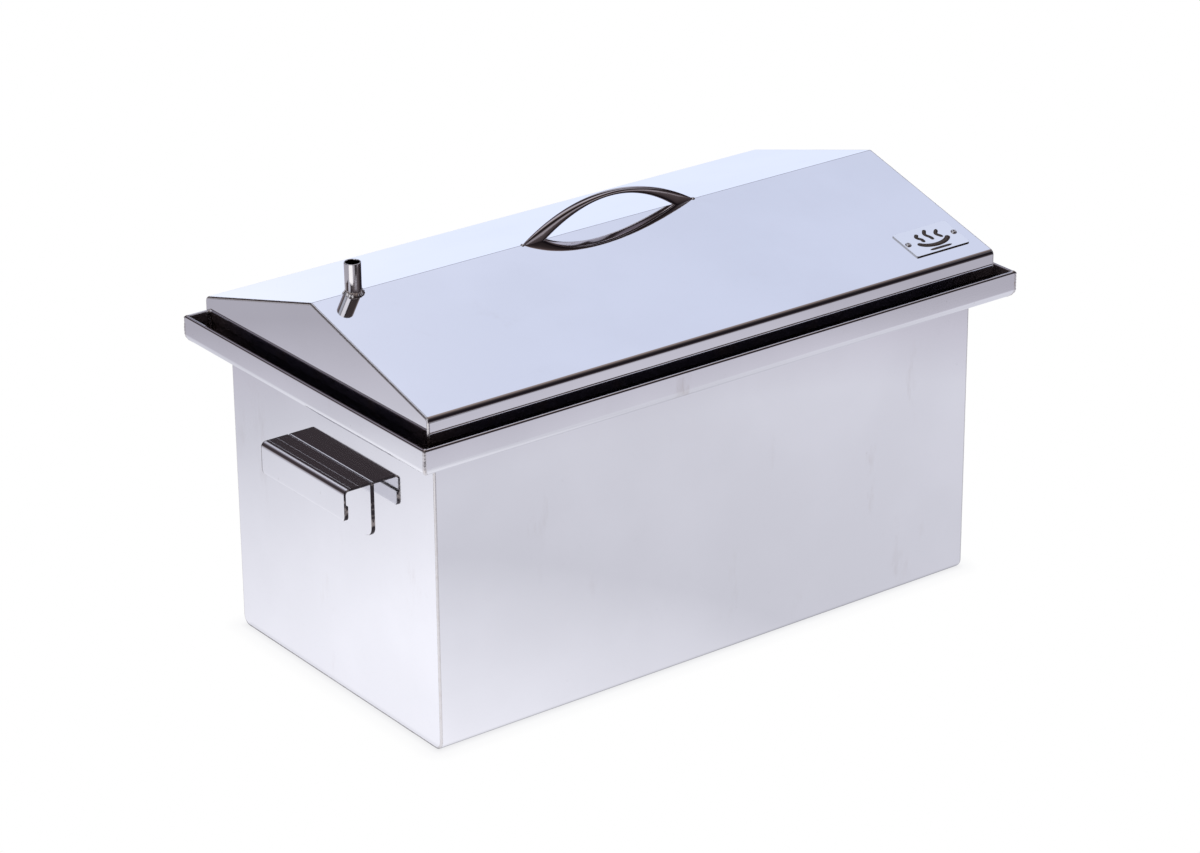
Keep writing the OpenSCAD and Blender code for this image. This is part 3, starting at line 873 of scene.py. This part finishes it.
def build_nameplate():
    up = PLATE_UP + PLATE_W / 2
    low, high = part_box("nameplate")
    x = (low.x + high.x) / 2

    def place(p, out):
        return on_slope(x + p.x, up + p.y, out)

    tag = plate("nameplate_tag", rounded_rect(PLATE_L, PLATE_W, 1.5 * MM), place, 0.02 * MM,
                PLATE_T)
    for face in tag.data.polygons:
        face.material_index = int(face.normal.y < -0.9)  # painted shade: the lower edge takes the dark etching as the shadow gap under the plate
    piece(crisp(tag, 0.06 * MM), "lid", "nameplate_sheet", (PLATE_STEEL, ETCHING_AND_EDGE_SHADE), "nameplate")

    strokes = []
    ink = PLATE_T + 0.05 * MM
    for k, (centre, height) in enumerate(((-9, 10.5), (0, 13.5), (9, 10.5))):
        points = []
        for i in range(29):
            f = i / 28
            sway = 1.9 * MM * math.sin(2 * math.pi * (1.15 * f + 0.1 * k)) * (0.4 + 0.6 * f)
            points.append(Vector((centre * MM + sway, (-1.8 + height * f) * MM)))
        strokes.append(ribbon(f"smoke_{k}", points, 3.2 * MM, PLATE_T, ink, place))
    bowl = [Vector((15.5 * MM * math.sin(a), 0.5 * MM - 8.2 * MM * math.cos(a)))
            for a in (math.radians(-76 + 152 * i / 36) for i in range(37))]
    strokes.append(ribbon("bowl", bowl, 4.2 * MM, PLATE_T, ink, place))
    bar = [Vector((-11 * MM + 22 * MM * i / 12, -12.2 * MM)) for i in range(13)]
    strokes.append(ribbon("bar", bar, 2.4 * MM, PLATE_T, ink, place))
    piece(join("nameplate_motif", strokes), "lid", "nameplate_sheet", ETCHING_AND_EDGE_SHADE)

    rivets = []
    head = 2.5 * MM
    profile = [(0.35 * MM, 0.55 * MM), (0.75 * MM, 0.62 * MM), (0.95 * MM, 1.05 * MM),
               (1.25 * MM, 1.16 * MM), (1.7 * MM, 1.0 * MM), (2.15 * MM, 0.62 * MM),
               (head, 0.12 * MM), (head, -0.05 * MM), (1.6 * MM, -0.05 * MM),
               (1.6 * MM, -2.5 * MM), (2.2 * MM, -2.7 * MM), (2.3 * MM, -3.3 * MM),
               (1.7 * MM, -3.65 * MM), (0.35 * MM, -3.65 * MM)]
    for side in (-1, 1):
        def seat(a, b, z):
            return place(Vector((side * (PLATE_L / 2 - 3.5 * MM) + a, b)), PLATE_T + z)

        rivets.append(lathe(f"rivet_{side}", profile, seat, 32))
    piece(join("nameplate_blind_rivets", rivets), "lid", "rivet_steel", RIVET_STEEL,
          "nameplate_rivets")


# ======================= Racks and drip tray =======================

def build_rack(level):
    body = f"{level}_rack"
    low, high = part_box(f"{body}_frame")
    length = high.x - low.x - ROD_D
    width = high.y - low.y - ROD_D
    z = low.z + ROD_D / 2
    loop = [Vector((p.x, p.y, z)) for p in rounded_rect(length, width, 10 * MM)]
    rods = [sweep("ring", loop, ROD_D / 2, (0, 0, 1), 16, loop=True)]
    third = (width + ROD_D) / 6
    rails = (-width / 2, -third, third, width / 2)
    for y in rails[1:3]:
        at = z + (ROD_D - THIN_ROD_D) / 2
        rods.append(sweep("stiffener", [(-length / 2, y, at), (length / 2, y, at)],
                          THIN_ROD_D / 2, (0, 0, 1)))
    piece(join(f"{body}_rods", rods), body, "rack_wire", WIRE_STEEL, f"{body}_frame")

    low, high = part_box(f"{body}_wires")
    wire = high.z - low.z
    top = (high.z + low.z) / 2
    bays = round((high.x - low.x - wire) / WIRE_PITCH)
    wires, nuggets = [], []
    for i in range(bays + 1):
        x = low.x + wire / 2 + (high.x - low.x - wire) * i / bays
        wires.append(sweep("wire", [(x, low.y, top), (x, high.y, top)], wire / 2, (0, 0, 1), 12))
        for k, y in enumerate(rails):
            for s in (-1, 1):
                spot = Vector((x + s * wire / 2, y, top - wire / 2))
                nuggets.append(weld_blob("nugget", spot, 0.9 * MM, i * 7 + k + s, 0.6))
    piece(join(f"{body}_cross_wires", wires), body, "rack_wire", WIRE_STEEL, f"{body}_wires")
    piece(join(f"{body}_spot_welds", nuggets), body, "rack_wire", WELD)

    low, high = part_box(f"{body}_grips")
    grips = [grip(x, (high.y - low.y) / 2, z, high.z) for x in (-length / 2, length / 2)]
    piece(join(f"{body}_lift_loops", grips), body, "rack_wire", WIRE_STEEL, f"{body}_grips")


def grip(x, half, foot, top):
    """Upright loop of rod across the end of a rack or tray."""
    bend = 8 * MM
    half -= THIN_ROD_D / 2
    crown = top - THIN_ROD_D / 2
    flat = [Vector((half, foot))]
    flat += [p for p, n in arc(Vector((half - bend, crown - bend)), bend, Vector((1, 0)),
                               math.pi / 2)]
    flat += [Vector((-p.x, p.y)) for p in reversed(flat)]
    return sweep("grip", [(x, p.x, p.y) for p in flat], THIN_ROD_D / 2, (1, 0, 0))


def build_tray():
    low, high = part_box("drip_tray_rim")
    length, width = high.x - low.x, high.y - low.y
    t = TRAY_T
    depth = high.z - low.z
    lip = 3 * MM
    outside = [(lip + 5 * MM, 0)]
    outside += [(lip + 1.2 * MM + 3.8 * MM * (1 - math.sin(a)), 3.8 * MM * (1 - math.cos(a)))
                for a in (math.pi / 2 * k / 6 for k in range(1, 7))]
    outside += [(lip + 0.2 * MM, depth - 1.4 * MM), (lip - 0.2 * MM, depth - t),
                (0.5 * MM, depth - t), (0, depth - t / 2), (0.5 * MM, depth)]
    inside = [(lip + 0.2 * MM, depth), (lip + t + 0.1 * MM, depth - 0.5 * MM)]
    inside += [(lip + t + 1.2 * MM + 2.8 * MM * (1 - math.sin(a)), t + 2.8 * MM * (1 - math.cos(a)))
               for a in (math.pi / 2 * k / 6 for k in range(6, 0, -1))]
    inside.append((lip + t + 5 * MM, t))
    corner = 15 * MM
    rings = []
    for inset, z in outside + inside:
        outline = rounded_rect(length - 2 * inset, width - 2 * inset, corner - inset)
        rings.append([Vector((p.x, p.y, low.z + z)) for p in outline])
    pan = skin("pan_pressing", rings)
    flats = pan.modifiers.new("flats", "WEIGHTED_NORMAL")
    flats.weight = 100
    piece(pan, "drip_tray", "tray_sheet", TRAY_STEEL,
          "drip_tray_floor", "drip_tray_rim")

    legs = []
    low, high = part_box("drip_tray_legs")
    for x in (low.x + STRAP_W / 2, high.x - STRAP_W / 2):
        pairs = fold([(high.y, low.z), (high.y, high.z), (low.y, high.z), (low.y, low.z)], 3 * MM)
        ends = (x - STRAP_W / 2, x + STRAP_W / 2)
        legs.append(folded_sheet("strap", pairs, ends, section_at_x))
    piece(crisp(join("tray_leg_straps", legs)), "drip_tray", "tray_sheet", TRAY_STEEL,
          "drip_tray_legs")

    low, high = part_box("drip_tray_grips")
    x = high.x - THIN_ROD_D / 2
    grips = [grip(s * x, (high.y - low.y) / 2, low.z, high.z) for s in (-1, 1)]
    piece(join("tray_lift_loops", grips), "drip_tray", "rack_wire", WIRE_STEEL,
          "drip_tray_grips")


# ======================= Stage, light and camera =======================

def add_camera():
    yaw, pitch, roll = (math.radians(a) for a in (CAMERA_YAW, CAMERA_PITCH, CAMERA_ROLL))
    ahead = Vector((math.sin(yaw) * math.cos(pitch), math.cos(yaw) * math.cos(pitch),
                    -math.sin(pitch)))
    level = Vector((math.cos(yaw), -math.sin(yaw), 0))
    upright = level.cross(ahead)
    right = math.cos(roll) * level + math.sin(roll) * upright
    up = -math.sin(roll) * level + math.cos(roll) * upright
    data = bpy.data.cameras.new("camera")
    data.sensor_width = 36
    data.lens = CAMERA_LENS
    camera = bpy.data.objects.new("camera", data)
    camera.matrix_world = (Matrix.Translation(CAMERA_AT)
                           @ Matrix((right, up, -ahead)).transposed().to_4x4())
    bpy.context.scene.collection.objects.link(camera)
    bpy.context.scene.camera = camera


FLOOR_REACH = 1.8
POOL_AT = (-0.40, -0.05)  # middle of the bright pool in the floor's glow
PATCHES = (  # (middle, reach, colour) of a bright and a dark patch in the floor's glow
    ((-0.93, -0.42), 0.42, (1.15, 1.14, 1.18)),
    ((-0.05, -1.05), 0.42, (0.05, 0.045, 0.05)),
)


def add_floor():
    """Table that glows by itself: no lamp lights it and nothing casts a shadow on it.

    The steel mirrors a painted glow that falls off with distance. The camera sees plain white
    instead, with a faint contact shadow painted round the foot of the box."""
    turns = [2 * math.pi * k / 96 for k in range(96)]
    ring = [Vector((FLOOR_REACH * math.cos(a), FLOOR_REACH * math.sin(a), 0)) for a in turns]
    floor = make_object("floor", ring, [tuple(range(96))])
    s = Shader("floor")
    axes = s.node("ShaderNodeSeparateXYZ", {"Vector": s.place()}).outputs
    gap = s.length2(*[s.math("MAXIMUM", s.math("SUBTRACT", s.math("ABSOLUTE", axes[k]), half), 0.0)
                      for k, half in ((0, HALF_L - 0.002), (1, HALF_W - 0.006))])
    pool = s.length2(*[s.math("SUBTRACT", axes[k], POOL_AT[k]) for k in (0, 1)])
    light = s.glow(pool, (
        (0.0, (1.08, 1.08, 1.15)), (0.15, (1.02, 1.02, 1.09)), (0.32, (0.84, 0.84, 0.91)),
        (0.42, (0.76, 0.76, 0.83)), (0.49, (0.68, 0.68, 0.75)), (1.0, (0.75, 0.75, 0.83))))
    falloff = s.glow(gap, (
        (0.0, (0.02, 0.02, 0.02)), (0.0012, (0.45, 0.45, 0.47)), (0.005, (1.0, 1.0, 1.0)),
        (0.38, (1.0, 1.0, 1.0)), (0.50, (0.86, 0.84, 0.86)), (0.64, (0.64, 0.62, 0.64)),
        (1.0, (0.62, 0.61, 0.63))))
    seen = s.glow(gap, (
        (0.0, (0.80, 0.80, 0.82)), (0.006, (0.95, 0.95, 0.96)), (0.02, (1.0, 1.0, 1.0))))
    product = s.node("ShaderNodeMix", data_type="RGBA", blend_type="MULTIPLY")
    product.inputs["Factor"].default_value = 1.0
    s.feed(product.inputs["A"], light)
    s.feed(product.inputs["B"], falloff)
    mirrored = product.outputs["Result"]
    for at, reach, tint in PATCHES:
        away = s.length2(*[s.math("SUBTRACT", axes[k], at[k]) for k in (0, 1)])
        mirrored = s.mix(s.ramp(away, 0.7 * reach, reach, 1.0, 0.0), mirrored, (*tint, 1.0))
    glows = [s.node("ShaderNodeEmission", {"Color": c}).outputs[0] for c in (mirrored, seen)]
    switch = s.node("ShaderNodeMixShader",
                    {"Fac": s.node("ShaderNodeLightPath").outputs["Is Camera Ray"]})
    s.feed(switch.inputs[1], glows[0])
    s.feed(switch.inputs[2], glows[1])
    out = s.tree.nodes["Material Output"]
    s.tree.nodes.remove(s.bsdf)
    s.feed(out.inputs["Surface"], switch.outputs[0])
    floor.data.materials.append(s.material)


class WorldShader(Shader):
    """The same helpers on the world's tree."""

    def __init__(self, world):
        world.use_nodes = True
        self.tree = world.node_tree
        self.tree.nodes.clear()

    def place(self):
        return self.node("ShaderNodeTexCoord").outputs["Generated"]


# Soft lights painted on the world: (direction, inner angle, outer angle, colour)
LOBES = (
    ((-0.68, 0.27, 0.68), 6, 18, (0.50, 0.52, 0.60)),
    ((-0.62, -0.32, 0.72), 12, 20, (0.95, 0.95, 1.02)),
    ((-1.0, -0.08, 0.0), 14, 30, (0.85, 0.85, 0.95)),
    ((0.56, 0.80, 0.22), 6, 13, (0.55, 0.57, 0.68)),
    ((0.05, 0.75, 0.66), 8, 20, (0.27, 0.25, 0.31)),
    ((0.78, -0.33, 0.53), 4, 14, (0.50, 0.50, 0.58)),
)


def add_world():
    """Dim studio with a large soft light high at the back right and a pale backdrop behind it.

    All of it is painted on the world. The steel mirrors it; the camera sees plain white."""
    world = bpy.data.worlds.new("studio")
    bpy.context.scene.world = world
    s = WorldShader(world)
    aim = s.place()
    x, y, z = s.node("ShaderNodeSeparateXYZ", {"Vector": aim}).outputs
    height = s.math("MINIMUM", s.math("MULTIPLY", s.math("ADD", z, 1.0), 0.5),
                    s.ramp(x, -0.50, 0.05, 0.78, 1.0))
    rear = s.glow(height, (
        (0.42, (0.58, 0.58, 0.64)), (0.48, (0.30, 0.28, 0.30)), (0.52, (0.12, 0.09, 0.09)),
        (0.60, (0.045, 0.037, 0.043)), (0.76, (0.050, 0.040, 0.044)), (0.86, (0.22, 0.18, 0.18)),
        (0.92, (0.34, 0.27, 0.25)), (1.0, (0.42, 0.38, 0.38))))
    front = s.glow(height, (
        (0.38, (0.58, 0.58, 0.64)), (0.43, (0.14, 0.12, 0.13)), (0.52, (0.05, 0.04, 0.045)),
        (0.62, (0.010, 0.008, 0.012)), (0.74, (0.012, 0.009, 0.012)), (0.85, (0.040, 0.032, 0.034)),
        (0.92, (0.15, 0.12, 0.12)), (1.0, (0.42, 0.38, 0.38))))
    colour = s.mix(s.ramp(y, -0.35, 0.10, 0.0, 1.0), front, rear)
    for direction, inner, outer, tint in LOBES:
        dot = s.node("ShaderNodeVectorMath", {0: aim, 1: Vector(direction).normalized()},
                     operation="DOT_PRODUCT").outputs["Value"]
        share = s.ramp(dot, math.cos(math.radians(outer)), math.cos(math.radians(inner)), 0.0, 1.0)
        colour = s.mix(share, colour, (*tint, 1.0))
    tall = s.math("ADD", z, s.math("MULTIPLY", x, 0.35))
    softbox = s.math("MULTIPLY", s.ramp(tall, 0.74, 0.86, 0.0, 1.0),
                     s.ramp(y, 0.14, 0.34, 0.0, 1.0))
    bright = s.mix(s.ramp(x, 0.42, 0.60, 0.0, 1.0), (0.84, 0.88, 1.04, 1.0),
                   (0.70, 0.75, 0.93, 1.0))
    colour = s.mix(softbox, colour, bright)
    behind = s.math("MULTIPLY", s.ramp(y, 0.15, 0.45, 0.0, 1.0), s.ramp(x, -0.1, 0.2, 0.0, 1.0))
    backdrop = s.math("MULTIPLY", s.ramp(z, 0.03, 0.16, 1.0, 0.0), behind)
    pale = s.mix(s.ramp(x, 0.42, 0.55, 0.0, 1.0), (1.03, 1.06, 1.19, 1.0), (0.84, 0.91, 1.13, 1.0))
    colour = s.mix(backdrop, colour, pale)
    colour = s.mix(s.node("ShaderNodeLightPath").outputs["Is Camera Ray"], colour, WHITE)
    shine = s.node("ShaderNodeBackground", {"Color": colour, "Strength": 1.0})
    s.node("ShaderNodeOutputWorld", {"Surface": shine.outputs[0]})


# ======================= The whole =======================

add_camera()
bpy.context.scene.view_settings.view_transform = "Standard"
build_box()
build_gutter()
build_carry_handles()
build_ledges()
build_lid()
build_bow()
build_spigot()
build_nameplate()
build_rack("upper")
build_rack("lower")
build_tray()
add_floor()
add_world()
